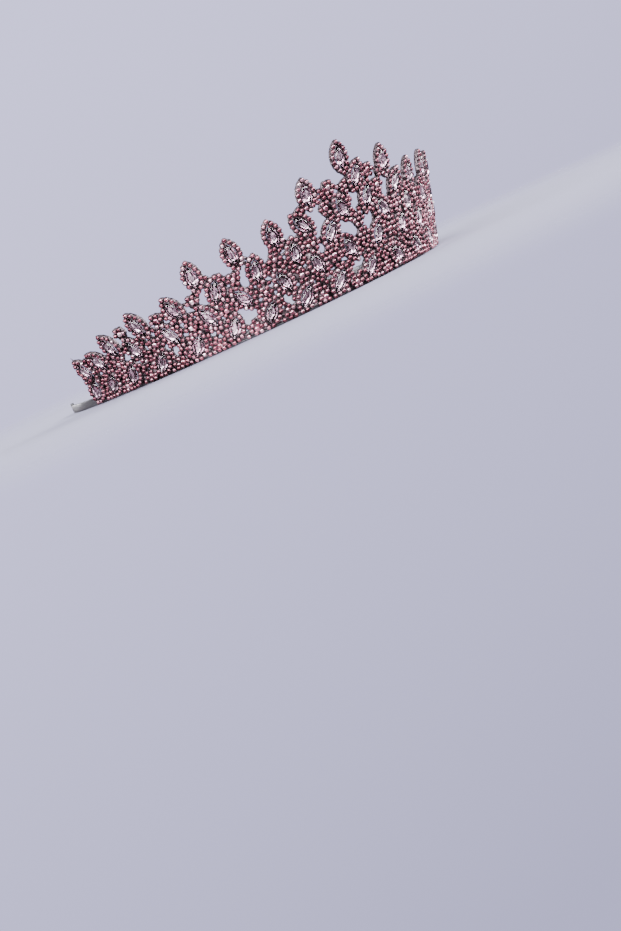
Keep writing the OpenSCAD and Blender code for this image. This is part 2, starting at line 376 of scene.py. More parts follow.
def new_object(name, shape, materials):
    """An object in the scene from points in mm, corners and sizes."""
    points, corners, sizes = shape
    mesh = bpy.data.meshes.new(name)
    mesh.vertices.add(len(points))
    mesh.vertices.foreach_set("co", (points * MM).astype(np.float32).ravel())
    mesh.loops.add(len(corners))
    mesh.loops.foreach_set("vertex_index", corners.astype(np.int32))
    mesh.polygons.add(len(sizes))
    mesh.polygons.foreach_set("loop_start", (np.cumsum(sizes) - sizes).astype(np.int32))
    for material in materials:
        mesh.materials.append(material)
    mesh.update(calc_edges=True)
    return put_in_scene(name, mesh)


def put_piece(name, shape, materials, body="root"):
    """A piece of the crown, which rides on its body."""
    piece = new_object(name, shape, materials)
    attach(piece, body)
    return piece


def face_numbers(piece, name, values):
    """Gives each face a number of its own that a material can read."""
    layer = piece.data.attributes.new(name, "FLOAT", "FACE")
    layer.data.foreach_set("value", values.astype(np.float32))


SEED = 7
rng = np.random.default_rng(SEED)
print("seeded with", SEED)

# %% [markdown]
# ## Finishes
# A fancy stone on such a crown is clear glass with a mirror foil behind it. Light goes in
# through the top facets, is thrown back by the foil, and comes out tinted and broken up,
# with a white flash wherever a facet catches a lamp. Here the facets above the girdle are
# glass, and those below it are the foil, so each stone makes its own flashes.

# %% Material helpers


def set_node(node, **values):
    """Sets values of a node; names that aren't its own properties are input sockets."""
    for key, value in values.items():
        if hasattr(node, key):
            setattr(node, key, value)
        else:
            node.inputs[key.replace("_", " ")].default_value = value
    return node


def add_node(tree, kind, output, sources=(), **values):
    """A new node with values set and its (input, source) links made. Gives one output."""
    node = set_node(tree.nodes.new(kind), **values)
    for name, source in sources:
        tree.links.new(source, node.inputs[name])
    return node.outputs[output]


def new_material(name, **values):
    """A node material, its tree, and its main shader with values set."""
    material = bpy.data.materials.new(name)
    material.use_nodes = True
    tree = material.node_tree
    return material, tree, set_node(tree.nodes["Principled BSDF"], **values)


def colour_steps(tree, source, steps, smooth=True):
    """A colour ramp: (position, colour) steps, fed by a number."""
    ramp = tree.nodes.new("ShaderNodeValToRGB")
    ramp.color_ramp.interpolation = "LINEAR" if smooth else "CONSTANT"
    while len(ramp.color_ramp.elements) < len(steps):
        ramp.color_ramp.elements.new(0.5)
    for element, (position, colour) in zip(ramp.color_ramp.elements, steps):
        element.position = position
        element.color = (*colour, 1)
    tree.links.new(source, ramp.inputs["Fac"])
    return ramp.outputs["Color"]


def own_noise(tree, grains, detail=3.0):
    """Noise on the piece's own coordinates, with a number of grains to the metre."""
    place = add_node(tree, "ShaderNodeTexCoord", "Object")
    return add_node(tree, "ShaderNodeTexNoise", "Fac", [("Vector", place)], Scale=grains, Detail=detail)


def random_cells(tree, place, scale):
    """A number for each cell of a pattern of cells, drawn evenly from 0..1."""
    cells = add_node(tree, "ShaderNodeTexVoronoi", "Color", [("Vector", place)], Scale=scale)
    return add_node(tree, "ShaderNodeSeparateColor", "Red", [("Color", cells)])


def fit_range(tree, source, **values):
    """Spreads a number from one range to another; both are 0..1 unless values say more."""
    return add_node(tree, "ShaderNodeMapRange", "Result", [("Value", source)], **values)


def finish(tree, shader, number, tints, grain, low, high):
    """The base colour from steps fed by one number, and the roughness from another, spread
    to low..high."""
    tree.links.new(colour_steps(tree, number, tints), shader.inputs["Base Color"])
    tree.links.new(fit_range(tree, grain, To_Min=low, To_Max=high), shader.inputs["Roughness"])


def bump(tree, shader, height, strength, distance):
    """Small relief from a height number."""
    relief = add_node(
        tree, "ShaderNodeBump", "Normal", [("Height", height)], Strength=strength, Distance=distance,
    )
    tree.links.new(relief, shader.inputs["Normal"])


def face_value(tree, name):
    """A number that each face carries."""
    return add_node(tree, "ShaderNodeAttribute", "Fac", attribute_name=name)


def camera_ray(tree):
    """1 for what the camera sees itself, and 0 for what is mirrored."""
    return add_node(tree, "ShaderNodeLightPath", "Is Camera Ray")


def mixed_surface(tree, output, share, first, second):
    """Leads two shaders to the output's surface; share is how much of the second shows."""
    mix = add_node(tree, "ShaderNodeMixShader", "Shader", enumerate((share, first, second)))
    tree.links.new(mix, tree.nodes[output].inputs["Surface"])


print("helpers ready")

# %% Clear rose glass and its foil
GLASS_TINTS = [(0.0, (0.80, 0.62, 0.70)), (1.0, (0.95, 0.82, 0.88))]
GLASS_IOR = 1.5
FOIL_TINTS = [
    (0.1, (0.16, 0.11, 0.145)), (0.35, (0.44, 0.31, 0.38)),
    (0.5, (0.88, 0.75, 0.83)), (1.0, (1.0, 0.97, 0.99)),
]
rose_glass, tree, shader = new_material("rose_glass", Transmission_Weight=1, IOR=GLASS_IOR)
finish(tree, shader, face_value(tree, "stone"), GLASS_TINTS, own_noise(tree, grains=900), low=0, high=0.006)
mirror_foil, tree, shader = new_material("mirror_foil", Metallic=1)
finish(tree, shader, face_value(tree, "facet"), FOIL_TINTS, own_noise(tree, grains=2500), low=0, high=0.02)
print("glass and foil ready")

# %% Small rose stones
SMALL_TINTS = [
    (0.12, (0.045, 0.010, 0.020)), (0.32, (0.20, 0.045, 0.075)), (0.50, (0.32, 0.11, 0.135)),
    (0.68, (0.40, 0.15, 0.215)), (0.82, (0.64, 0.37, 0.45)), (0.95, (0.96, 0.80, 0.86)),
]
GRAZING_TINT = (0.7, 0.44, 0.5, 1)
small_rose, tree, shader = new_material(
    "small_rose", Metallic=0.92, Specular_Tint=GRAZING_TINT, Coat_Weight=0.15, Coat_Roughness=0.02,
)
finish(tree, shader, face_value(tree, "facet"), SMALL_TINTS, own_noise(tree, grains=1500), low=0, high=0.06)
print("small stones' finish ready")

# %% Dark metal of the settings
DARK_TINTS = [(0.3, (0.045, 0.033, 0.038)), (0.55, (0.11, 0.083, 0.094)), (0.75, (0.24, 0.185, 0.205))]
dark_metal, tree, shader = new_material("dark_metal", Metallic=1)
patches = own_noise(tree, grains=450, detail=5)
finish(tree, shader, patches, DARK_TINTS, patches, low=0.22, high=0.5)
bump(tree, shader, own_noise(tree, grains=3000, detail=2), strength=0.3, distance=0.00005)
print("dark metal ready")

# %% Brushed metal of the strip
BAND_TINTS = [(0.3, (0.10, 0.10, 0.11)), (0.7, (0.24, 0.24, 0.26))]
BRUSH_STRETCH = (1, 22, 1)
band_metal, tree, shader = new_material("band_metal", Metallic=1)
own_map = add_node(tree, "ShaderNodeUVMap", "UV", uv_map="own_map")
stretched = add_node(tree, "ShaderNodeMapping", "Vector", [("Vector", own_map)], Scale=BRUSH_STRETCH)
streaks = add_node(tree, "ShaderNodeTexNoise", "Fac", [("Vector", stretched)], Scale=240, Detail=6)
finish(tree, shader, streaks, BAND_TINTS, streaks, low=0.28, high=0.45)
bump(tree, shader, streaks, strength=0.15, distance=0.0001)
print("strip's finish ready")

# %% [markdown]
# ## The marquise stones
# A marquise stone is a pointed oval with a flat table, triangular facets down to a thin
# girdle, and a pavilion that closes in a narrow keel below. The rings of the table and the
# keel are turned by half a step against the girdle, which makes triangles. The stones stand
# in the model's seats. Their girdles rest on the collets, so they are a little wider than
# the plain ones.

# %% Marquise cut
STONE_LONG, STONE_WIDE = 8.3, 4.1
KEEL_AT, GIRDLE_AT, TABLE_AT = 1.4, 1.93, 2.62
STONE_STEPS = 4
MARQUISE_RINGS = [        # height, share of the length, share of the width, steps ahead
    (KEEL_AT, 0.45, 0.13, 0.5), (GIRDLE_AT - 0.05, 1, 1, 0),
    (GIRDLE_AT + 0.08, 1, 1, 0), (TABLE_AT, 0.7, 0.64, 0.5),
]
marquise = cut_shape([
    at_height(pointed_ring(STONE_LONG * long, STONE_WIDE * wide, STONE_STEPS, ahead), z)
    for z, long, wide, ahead in MARQUISE_RINGS
], leads=True)
STONE_SIDES = 2 * STONE_STEPS
BACK_FACES = 1 + 2 * STONE_SIDES        # the face of the keel, and two triangles for each side
FACES = len(marquise[2])
print(FACES, "facets on a marquise stone,", BACK_FACES, "of them behind the girdle")


def tilted(turns, degrees):
    """The same arrows, each set tipped a little to a side, as a hand-set stone is: the
    outward arrow gains seeded shares of the other two, and they are squared up again."""
    share = math.tan(math.radians(degrees)) * rng.uniform(-1, 1, (len(turns), 2, 1))
    face = unit(turns[:, 2] + share[:, 0] * turns[:, 0] + share[:, 1] * turns[:, 1])
    across = unit(turns[:, 0] - (turns[:, 0] * face).sum(axis=1)[:, None] * face)
    return np.stack([across, np.cross(face, across), face], axis=1)


MARQUISE_TILT = 1.5


def cut_stones(name, rows, nodes):
    """The cut stones of some settings as one piece, in the place of the model's stones."""
    where, turns = setting_axes(rows)
    shape = stamp(marquise, where, tilted(turns, MARQUISE_TILT))
    piece = put_piece(name, shape, [rose_glass, mirror_foil])
    count = len(rows)
    behind = np.tile(np.arange(FACES) < BACK_FACES, count)
    piece.data.polygons.foreach_set("material_index", behind.astype(np.int32))
    face_numbers(piece, "facet", rng.random(FACES * count))
    face_numbers(piece, "stone", np.repeat(rng.random(count), FACES))
    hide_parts(*nodes)


# %% Put the marquise stones in
for k, name in enumerate(main_names):
    cut_stones(f"{name}_marquise", main_rows[k:k + 1], [f"{name}_stone"])
cut_stones("second_row_marquises", second_rows, ["second_row_stones"])
cut_stones("lower_row_marquises", lower_rows, ["lower_row_stones"])
print(len(settings), "marquise stones")

# %% [markdown]
# ## Where the small stones go
# Fourteen small stones ring each marquise, six ring each cluster's middle stone, and single
# ones sit where a short strand joins two settings and along the foot. A real maker leaves
# out a stone where two rings would collide, so the places are laid one after the other, and
# one that is too near an earlier one, or over a marquise stone, is left out.

# %% Rings of small stones
PLATE_DEEP, CLUSTER_DEEP = 1.4, 1.1
RING_LONG, RING_WIDE, RING_TOP = 10.8, 6.0, 1.15
RING_STONES = 14
FINE_STEPS = 200


def ring_places(count):
    """Places at equal steps of the way round a pointed outline, one on each point."""
    fine = pointed_ring(RING_LONG, RING_WIDE, FINE_STEPS)
    way = np.concatenate([[0], np.cumsum(lengths(np.diff(fine, axis=0, append=fine[:1])))])
    closed = np.vstack([fine, fine[:1]])
    stops = way[-1] * np.arange(count) / count
    return np.stack([np.interp(stops, way, closed[:, k]) for k in (0, 1)], -1)


def groups_of(points, places, turns, s):
    """The same few points at each place, with the arrows and the s of their place."""
    return spread(points, places, turns), np.repeat(turns, len(points), axis=0), np.repeat(s, len(points))


halo = groups_of(at_height(ring_places(RING_STONES), RING_TOP), middles, axes, settings[:, 0])
print(len(halo[0]), "places in the rings")

# %% Clusters and the foot
CLUSTER_RING = 1.98
hexagon = at_height(round_ring(CLUSTER_RING, 6), CLUSTER_DEEP)
petals = groups_of(hexagon, cluster_middles, cluster_axes, clusters[:, 0])
flower = np.vstack([at_height(np.zeros((1, 2)), CLUSTER_DEEP), hexagon])
small_middles, small_axes = upright_axes(small_clusters)
flowers = groups_of(flower, small_middles, small_axes, small_clusters[:, 0])

FOOT_HALF, FOOT_STEP, FOOT_UP, FOOT_TOP = 111, 1.85, 1.35, 0.95
PAST_END = 0.1        # arange leaves its end out, so it is asked to go a little further


def on_wall(s, h, d):
    """Places and arrows of small stones that follow the wall itself, and their s."""
    s = np.asarray(s, float)
    h = np.broadcast_to(np.asarray(h, float), s.shape)
    return wall_place(s, h, d), np.stack(wall_axes(s), axis=1), s


foot = on_wall(np.arange(-FOOT_HALF, FOOT_HALF + PAST_END, FOOT_STEP), FOOT_UP, FOOT_TOP)
print(len(petals[0]), "places round the clusters and", len(foot[0]), "along the foot")

# %% Strands between neighbours
NEIGHBOURS, SETTING_REACH, CLUSTER_REACH, TOUCHING = 13, 1.75, 0.9, -0.2
SETTING_LONG, SETTING_WIDE, CLUSTER_RADIUS = 12.4, 7.4, 2.5
STRAND_TOP = 0.85


def edge_toward(a, b, distance):
    """From a setting's middle to its pointed edge on the way to another piece: the edge is an
    arc of radius R about a point beside the middle, so it is sqrt(k^2 + R^2 - off^2) - k."""
    rise = b[:, 1] - a[:, 1]
    along = np.sign(b[:, 0] - a[:, 0]) * np.sqrt(np.maximum(0, distance ** 2 - rise ** 2))
    radius = arc_radius(SETTING_LONG, SETTING_WIDE)
    off = radius - SETTING_WIDE / 2
    k = np.abs(np.sin(np.arctan2(along, rise) - np.radians(a[:, 2]))) * off
    return np.sqrt(k * k + radius ** 2 - off ** 2) - k


first, second = np.triu_indices(len(settings), 1)
one_row, other_row = settings[first], settings[second]
distance = lengths(middles[first] - middles[second])
one_edge, other_edge = edge_toward(one_row, other_row, distance), edge_toward(other_row, one_row, distance)
gap = distance - one_edge - other_edge
joined = (distance < NEIGHBOURS) & (gap > TOUCHING) & (gap < SETTING_REACH)
half_way = ((one_edge + gap / 2) / distance)[:, None]
strand_rows = (one_row[:, :2] + half_way * (other_row - one_row)[:, :2])[joined]
strands = on_wall(*strand_rows.T, STRAND_TOP)
print(int(joined.sum()), "strands between settings")

# %% Column and sling under the peak
CHAIN_STEP = 1.75
COLUMN_S, COLUMN_FROM, COLUMN_TO = (-1.9, -0.1), 31.6, 39.5
SLING_FROM, SLING_TO, SLING_UP = -12, -2.5, 36
column_h = np.arange(COLUMN_FROM, COLUMN_TO, CHAIN_STEP)
column = on_wall(np.tile(COLUMN_S, len(column_h)), np.repeat(column_h, 2), STRAND_TOP)
sling = on_wall(np.arange(SLING_FROM, SLING_TO, CHAIN_STEP), SLING_UP, STRAND_TOP)
print(len(column[0]), "places in the column and", len(sling[0]), "in the sling")

# %% [markdown]
# ## The soldered metal
# In the model each setting is a flat plate. On the real crown the metal behind a ring of
# stones follows their cups, and a low collet stands up round the long stone. So a rim is
# one closed profile carried round the pointed outline, and its outer edge swells at each
# cup. The clusters get a base with six lobes, and rounded bars join them all. The model's
# plates stay in the simulation, and this metal is shown in their place.

# %% Rim of a marquise setting
RIM_STEPS = 2 * RING_STONES
RIM_POINTS = 2 * RIM_STEPS
POINTS_TO_A_STONE = RIM_POINTS // RING_STONES
RIM_LEVELS = [            # out from the stones' line, lobe, height
    (0.42, 0.22, 0.45), (0.54, 0.28, 0.75), (0.54, 0.28, 1.15), (0.46, 0.26, PLATE_DEEP),
]
COLLET_LEVELS = [         # length, width, height
    (8.7, 4.5, 1.42), (8.55, 4.35, 1.84), (8.14, 3.94, 1.84), (7.6, 3.6, 0.5),
]


def lobed_ring(offset, lobe):
    """The line through the ring's stones, moved outward by offset, and by lobe times |cos|
    more, so that it swells at each stone."""
    line = pointed_ring(RING_LONG, RING_WIDE, RIM_STEPS)
    way = unit(np.roll(line, -1, axis=0) - np.roll(line, 1, axis=0))
    outward = np.stack([way[:, 1], -way[:, 0]], -1)
    wave = np.abs(np.cos(np.pi * np.arange(RIM_POINTS) / POINTS_TO_A_STONE))
    return line + (offset + lobe * wave)[:, None] * outward


rim = hoop(
    [at_height(lobed_ring(offset, lobe), z) for offset, lobe, z in RIM_LEVELS]
    + [at_height(pointed_ring(long, wide, RIM_STEPS), z) for long, wide, z in COLLET_LEVELS]
)
print("a rim has", len(rim[2]), "faces")

# %% Base of a cluster
LOBE_POINTS = 24
BASE_LEVELS = [           # radius, lobe, height
    (2.15, 0.42, 0.3), (2.3, 0.48, 0.55), (2.3, 0.48, 0.9), (2.2, 0.46, CLUSTER_DEEP),
]


def lobed_circle(radius, lobe):
    """A circle that swells at six places: radius + lobe times |cos 3 angle|."""
    angle = 2 * np.pi * np.arange(LOBE_POINTS) / LOBE_POINTS
    swollen = radius + lobe * np.abs(np.cos(3 * angle))
    return swollen[:, None] * round_ring(1, LOBE_POINTS)


cluster_base = closed_tube([at_height(lobed_circle(radius, lobe), z) for radius, lobe, z in BASE_LEVELS])
print("a cluster's base has", len(cluster_base[2]), "faces")

# %% Bars between pieces
BAR_SIDES = 8
BAR_WIDE, BAR_DEEP, BAR_MIDDLE = 0.62, 0.42, 0.62
bar_section = round_ring(1, BAR_SIDES) * [BAR_WIDE, BAR_DEEP] + [0, BAR_MIDDLE]
bar = closed_tube([np.insert(bar_section, 0, x, axis=1) for x in (0.0, 1.0)])
RIM_DEPTH = 1


def bars_between(start, end, s):
    """One bar from each start to each end: its first arrow is the whole way, its second
    lies in the wall, and its third points out of the wall."""
    way = end - start
    _, _, face = wall_axes(s)
    side = unit(np.cross(face, way))
    return stamp(bar, start, np.stack([way, side, unit(np.cross(way, side))], axis=1))


def rim_place(a, b, edge, distance):
    """A place in the rim of setting a, a little inside its edge, on the way to b."""
    share = ((edge - RIM_DEPTH) / distance)[:, None]
    return a[:, :2] + share * (b[:, :2] - a[:, :2])


def wall_bars(start, end):
    """Bars between places given as rows of s and h."""
    return bars_between(wall_place(*start.T), wall_place(*end.T), start[:, 0])


strand_bars = wall_bars(
    rim_place(one_row, other_row, one_edge, distance)[joined],
    rim_place(other_row, one_row, other_edge, distance)[joined],
)
upper = np.arange(2 * len(UPPER_CLUSTERS))
first, second = (grid.ravel() for grid in np.meshgrid(np.arange(len(settings)), upper, indexing="ij"))
setting_row, cluster_row = settings[first], clusters[second]
distance = lengths(middles[first] - cluster_middles[second])
edge = edge_toward(setting_row, cluster_row, distance)
gap = distance - edge - CLUSTER_RADIUS
near = (gap > TOUCHING) & (gap < CLUSTER_REACH)
cluster_bars = wall_bars(rim_place(setting_row, cluster_row, edge, distance)[near], cluster_row[near])
print(int(joined.sum()), "and", int(near.sum()), "bars")

# %% A profile carried along the strip


def carried(profile, s):
    """A closed profile of (inward, up) points, counterclockwise seen from behind, carried
    along the strip: the strip's face minus inward times the outward arrow, plus up times
    the upright one. Both ends are closed."""
    strip_face, _, outward = (block[:, None] for block in level_axes(s))
    inward, up = profile.T[..., None]
    return closed_tube(strip_face - inward * outward + up * UPRIGHT)


WIRE_OUT, WIRE_UP, WIRE_THICK, WIRE_TALL, WIRE_HALF = 1.15, 1.3, 0.36, 0.7, 112
WIRE_SIDES, WIRE_STEPS = 10, 150
wire_profile = round_ring(1, WIRE_SIDES) * [WIRE_THICK, WIRE_TALL] + [-WIRE_OUT, WIRE_UP]
foot_wire = carried(wire_profile, np.linspace(-WIRE_HALF, WIRE_HALF, WIRE_STEPS))

setting_metal = put_piece("setting_metal", merged(
    stamp(rim, middles, axes), stamp(cluster_base, cluster_middles, cluster_axes),
    stamp(cluster_base, small_middles, small_axes), strand_bars, cluster_bars, foot_wire,
), [dark_metal])
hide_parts("setting_frame")
print("setting metal:", len(setting_metal.data.polygons), "faces")

# %% Leave out what collides
NEAREST = 1.5
STONE_MARGIN = 0.62
STONE_PLANE = 4
LOWEST_MIDDLE = 1.2


def clear_of_marquises(places):
    """True where a place is outside every marquise outline, grown by a margin: inside means
    within the arc's radius of both centres, and close to the setting's own plane."""
    radius = arc_radius(STONE_LONG, STONE_WIDE)
    local = np.einsum("mpj,mkj->mpk", places[None] - middles[:, None], axes)
    reach = np.hypot(np.abs(local[..., 0]) + radius - STONE_WIDE / 2, local[..., 1])
    inside = (reach < radius + STONE_MARGIN) & (np.abs(local[..., 2]) < STONE_PLANE)
    return ~inside.any(axis=0)


def lay_in_order(groups):
    """Keeps each place that is far enough from all kept before it. The lowest ones are
    raised, so that their cups stay above the floor."""
    places, turns, s = (np.concatenate(blocks) for blocks in zip(*groups))
    places[:, 2] = np.maximum(places[:, 2], LOWEST_MIDDLE)
    kept = []
    for k in np.flatnonzero(clear_of_marquises(places)):
        if not kept or lengths(places[kept] - places[k]).min() > NEAREST:
            kept.append(k)
    return places[kept], turns[kept], s[kept]


small_places, small_turns, small_s = lay_in_order([halo, petals, flowers, column, sling, strands, foot])
laid_first = len(small_places)
print(laid_first, "small stones laid")

# %% Stones in the notches
NOTCH_REACH, NOTCH_TOUCH = 1.95, 1.78
NOTCH_TOP = 0.75
NOTCH_ROUNDS = 4
NET_HALF, NET_FROM, NET_TO, NET_STEP = 116, 1.4, 40, 0.6
FULL_TO, NEEDED_LOW, NEEDED_HIGH = 18, 2, 3


def square_distances(places):
    """From each place to each small stone: |p|^2 + |q|^2 - 2 p.q."""
    return (places ** 2).sum(1)[:, None] + (small_places ** 2).sum(1) - 2 * places @ small_places.T


def notch_places():
    """Places in the wall's notches: of a fine net over the wall, those that touch a laid
    stone and have at least three near, or two in the full lower part."""
    net = np.meshgrid(np.arange(-NET_HALF, NET_HALF, NET_STEP), np.arange(NET_FROM, NET_TO, NET_STEP))
    s, h = (grid.ravel() for grid in net)
    needed = np.where(h < FULL_TO, NEEDED_LOW, NEEDED_HIGH)
    places, turns, s = on_wall(s, h, NOTCH_TOP)
    square = square_distances(places)
    count = (square < NOTCH_REACH ** 2).sum(axis=1)
    nearest = square.min(axis=1)
    chosen = np.flatnonzero((nearest > NEAREST ** 2) & (nearest < NOTCH_TOUCH ** 2) & (count >= needed))
    chosen = chosen[np.argsort(-count[chosen], kind="stable")]
    return places[chosen], turns[chosen], s[chosen]


for _ in range(NOTCH_ROUNDS):
    small_places, small_turns, small_s = lay_in_order([(small_places, small_turns, small_s), notch_places()])
    print(len(small_places), "small stones with those in the notches")

# %% Wires behind the cups
LINK_FROM, LINK_TO, LINK_BACK = 1.7, 2.7, 1.25
square = square_distances(small_places)
from_stone, to_stone = np.nonzero(np.triu((square > LINK_FROM ** 2) & (square < LINK_TO ** 2), 1))
open_way = clear_of_marquises((small_places[from_stone] + small_places[to_stone]) / 2)
from_stone, to_stone = from_stone[open_way], to_stone[open_way]
wire_start, wire_end = (small_places[k] - LINK_BACK * small_turns[k, 2] for k in (from_stone, to_stone))
links = put_piece("cup_wires", bars_between(wire_start, wire_end, small_s[from_stone]), [dark_metal])
print(len(from_stone), "short wires join the cups,", len(links.data.polygons), "faces")

# %% [markdown]
# ## Cups and small stones
# Each small stone sits in a pressed cup with four prongs. A cup is a short turned wall, and
# a prong is a small wedge that leans over the stone's edge. The stone is a round cut with
# eight sides. All are templates of a few dozen faces, because there are over a thousand.

# %% Cup, prong and stone templates
CUP_SIDES = 10
CUP_WALL = [(0.66, -0.25), (0.86, 0.0), (0.88, 0.72), (0.80, 0.78), (0.70, 0.45)]   # radius, height
PRONG_AT = 0.86
PRONG_SECTIONS = [(0.0, 0.17, 0.10), (0.02, 0.85, 0.08), (0.20, 1.04, 0.07)]   # step in, height, half
ASIDE_SHARE = 1.3
ROUND_SIDES = 8
ROUND_LEVELS = [          # radius, height, steps ahead
    (0.30, 0.50, 0), (0.76, 0.80, 0.5), (0.76, 0.86, 0.5), (0.44, 1.16, 0),
]
SQUARE = np.array([(-1, -1), (1, -1), (1, 1), (-1, 1)])


def leaning_bars(feet, inward, sections):
    """Small bars that stand at feet and lean inward. A section is a rectangle whose middle
    is foot + step * inward at a height. half is half its width on the way in."""
    bars = []
    for foot_point, way in zip(feet, inward):
        aside = np.array([-way[1], way[0]])
        outline = SQUARE[:, :1] * way + ASIDE_SHARE * SQUARE[:, 1:] * aside
        rings = [at_height(foot_point + step * way + half * outline, z) for step, z, half in sections]
        bars.append(closed_tube(rings))
    return merged(*bars)


def round_cut(levels):
    """A round stone from the radius, height and turn of its four rings."""
    return cut_shape([at_height(round_ring(r, ROUND_SIDES, ahead), z) for r, z, ahead in levels], leads=False)


cup = closed_tube([at_height(round_ring(r, CUP_SIDES), z) for r, z in CUP_WALL])
quarters = round_ring(1, 4, ahead=0.5)
prongs = leaning_bars(PRONG_AT * quarters, -quarters, PRONG_SECTIONS)
small_stone = round_cut(ROUND_LEVELS)
print("faces: cup", len(cup[2]), "prongs", len(prongs[2]), "stone", len(small_stone[2]))

# %% Stamp cups and small stones


def spun(turns):
    """The same arrows, each set spun about its outward arrow by a seeded angle."""
    angle = rng.random(len(turns)) * 2 * np.pi
    c, s = np.cos(angle)[:, None], np.sin(angle)[:, None]
    across, length, face = turns[:, 0], turns[:, 1], turns[:, 2]
    return np.stack([c * across + s * length, c * length - s * across, face], axis=1)


CUP_TILT = 9
# Share that scales down the facet numbers of the stones laid in the notches: painted shade for their recess
# between the rings.
NOTCH_PAINTED_SHADE = 0.75
FACET_SHARE = 0.6
small_turns = tilted(spun(small_turns), CUP_TILT)
painted_notch_shade = np.where(np.arange(len(small_places)) < laid_first, 1, NOTCH_PAINTED_SHADE)
for side, chosen in (("right", small_s < 0), ("left", small_s >= 0)):
    places, turns = small_places[chosen], small_turns[chosen]
    cup_shape = merged(stamp(cup, places, turns), stamp(prongs, places, turns))
    cups = put_piece(f"stone_cups_{side}", cup_shape, [dark_metal])
    stones = put_piece(f"small_stones_{side}", stamp(small_stone, places, turns), [small_rose])
    facets = len(small_stone[2])
    facet_tone = rng.random(facets * len(places))
    stone_tone = np.repeat(rng.random(len(places)), facets)
    tone = FACET_SHARE * facet_tone + (1 - FACET_SHARE) * stone_tone
    # The stones in the notches get darker facet numbers here: painted shade in the recesses, added to the
    # random tone.
    face_numbers(stones, "facet", tone * np.repeat(painted_notch_shade[chosen], facets))
    print(side, len(places), "cups,", len(cups.data.polygons), "+", len(stones.data.polygons), "faces")

# %% Claws of the marquise stones
CLAW_STEPS = np.array([6, 22])
CLAW_LINE_LONG, CLAW_LINE_WIDE = 8.35, 4.15
CLAW_AIM = [1, 0.25]
CLAW_SECTIONS = [(0.0, 1.3, 0.2), (0.05, 2.02, 0.17), (0.42, 2.36, 0.12)]
claw_line = pointed_ring(CLAW_LINE_LONG, CLAW_LINE_WIDE, RIM_STEPS)
claw_feet = claw_line[np.concatenate([CLAW_STEPS, CLAW_STEPS + RIM_STEPS])]
claw = leaning_bars(claw_feet, unit(-claw_feet * CLAW_AIM), CLAW_SECTIONS)
claws = put_piece("stone_claws", stamp(claw, middles, axes), [dark_metal])
print(len(claw_feet) * len(settings), "claws")

# %% Loose wire end
END_REACH, END_OUT, END_LONG, END_THICK = 5.9, 0.9, 1.5, 0.16
END_SECTIONS = [(0, 1), (0.8, 0.9), (1, 0.4)]        # share of length, share of thickness
outermost = int(np.argmin(main_rows[:, 0]))
across, length, face = axes[outermost]
end_start = middles[outermost] + END_REACH * length + END_OUT * face
spike = closed_tube([
    at_height(round_ring(END_THICK * size, BAR_SIDES), END_LONG * way) for way, size in END_SECTIONS
])
end_shape = stamp(spike, end_start[None], np.array([[face, across, length]]))
loose_end = put_piece("loose_wire_end", end_shape, [dark_metal])
print("loose wire end by the setting", main_names[outermost])

# %% Middle stones of the clusters
ROUND_RADIUS, ROUND_HIGH, STONE_GAP = 1.1, 0.8, 0.1
MIDDLE_LEVELS = [         # radius, height, steps ahead
    (0.35, CLUSTER_DEEP + STONE_GAP, 0), (ROUND_RADIUS, CLUSTER_DEEP + 0.38, 0.5),
    (ROUND_RADIUS, CLUSTER_DEEP + 0.46, 0.5), (ROUND_RADIUS * 0.6, CLUSTER_DEEP + STONE_GAP + ROUND_HIGH, 0),
]
DARKEST_MIDDLE = 0.4
middle_stone = round_cut(MIDDLE_LEVELS)
for side, chosen in (("right", clusters[:, 0] < 0), ("left", clusters[:, 0] >= 0)):
    shape = stamp(middle_stone, cluster_middles[chosen], spun(cluster_axes[chosen]))
    stones = put_piece(f"cluster_stones_{side}", shape, [small_rose])
    face_numbers(stones, "facet", DARKEST_MIDDLE + (1 - DARKEST_MIDDLE) * rng.random(len(shape[2])))
    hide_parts(f"round_stones_{side}")
    print(side, int(chosen.sum()), "middle stones")

# %% [markdown]
# ## The strip
# The crown stands on a springy strip with rounded edges, a little eyelet in the rounded tip
# at each end, and a slotted tab inside each arm for a hairgrip. In the model it is made of
# short straight lengths. Here its profile is carried along the plan in fine steps, and tips
# and tabs are closed rings of a profile round their holes.

# %% Strip
STRIP_HIGH, STRIP_THICK, EDGE = 3, 1, 0.28
STRIP_STEPS = 280
inner, top = STRIP_THICK - EDGE, STRIP_HIGH - EDGE
corner_middles = np.array([(inner, top), (EDGE, top), (EDGE, EDGE), (inner, EDGE)])
corner_turns = np.radians(90 * np.arange(4)[:, None] + [0, 30, 60, 90])        # four points to a corner
corner_arcs = EDGE * np.stack([np.cos(corner_turns), np.sin(corner_turns)], -1)
strip_profile = (corner_middles[:, None] + corner_arcs).reshape(-1, 2)
strip_s = np.linspace(-STRIP_END, STRIP_END, STRIP_STEPS)
strip = carried(strip_profile, strip_s)
up_the_strip = np.tile(strip_profile[:, 1], len(strip_s))
strip_map = np.column_stack([np.repeat(strip_s, len(strip_profile)), up_the_strip])
print("strip:", len(strip[2]), "faces")

# %% Tips and tabs
TIP_RADIUS, TIP_THICK, EYELET_RADIUS, TIP_REACH = 1.8, 1.4, 0.7, 1.2
TAB_S, TAB_HIGH, TAB_WIDE, TAB_LOW, TAB_THICK = 90, 8, 6, 0.5, 0.8
SLOT_WIDE, SLOT_LONG = 1.4, 3.6
HOLE_POINTS = 32
ROUNDING = 0.18
TINY = 1e-9


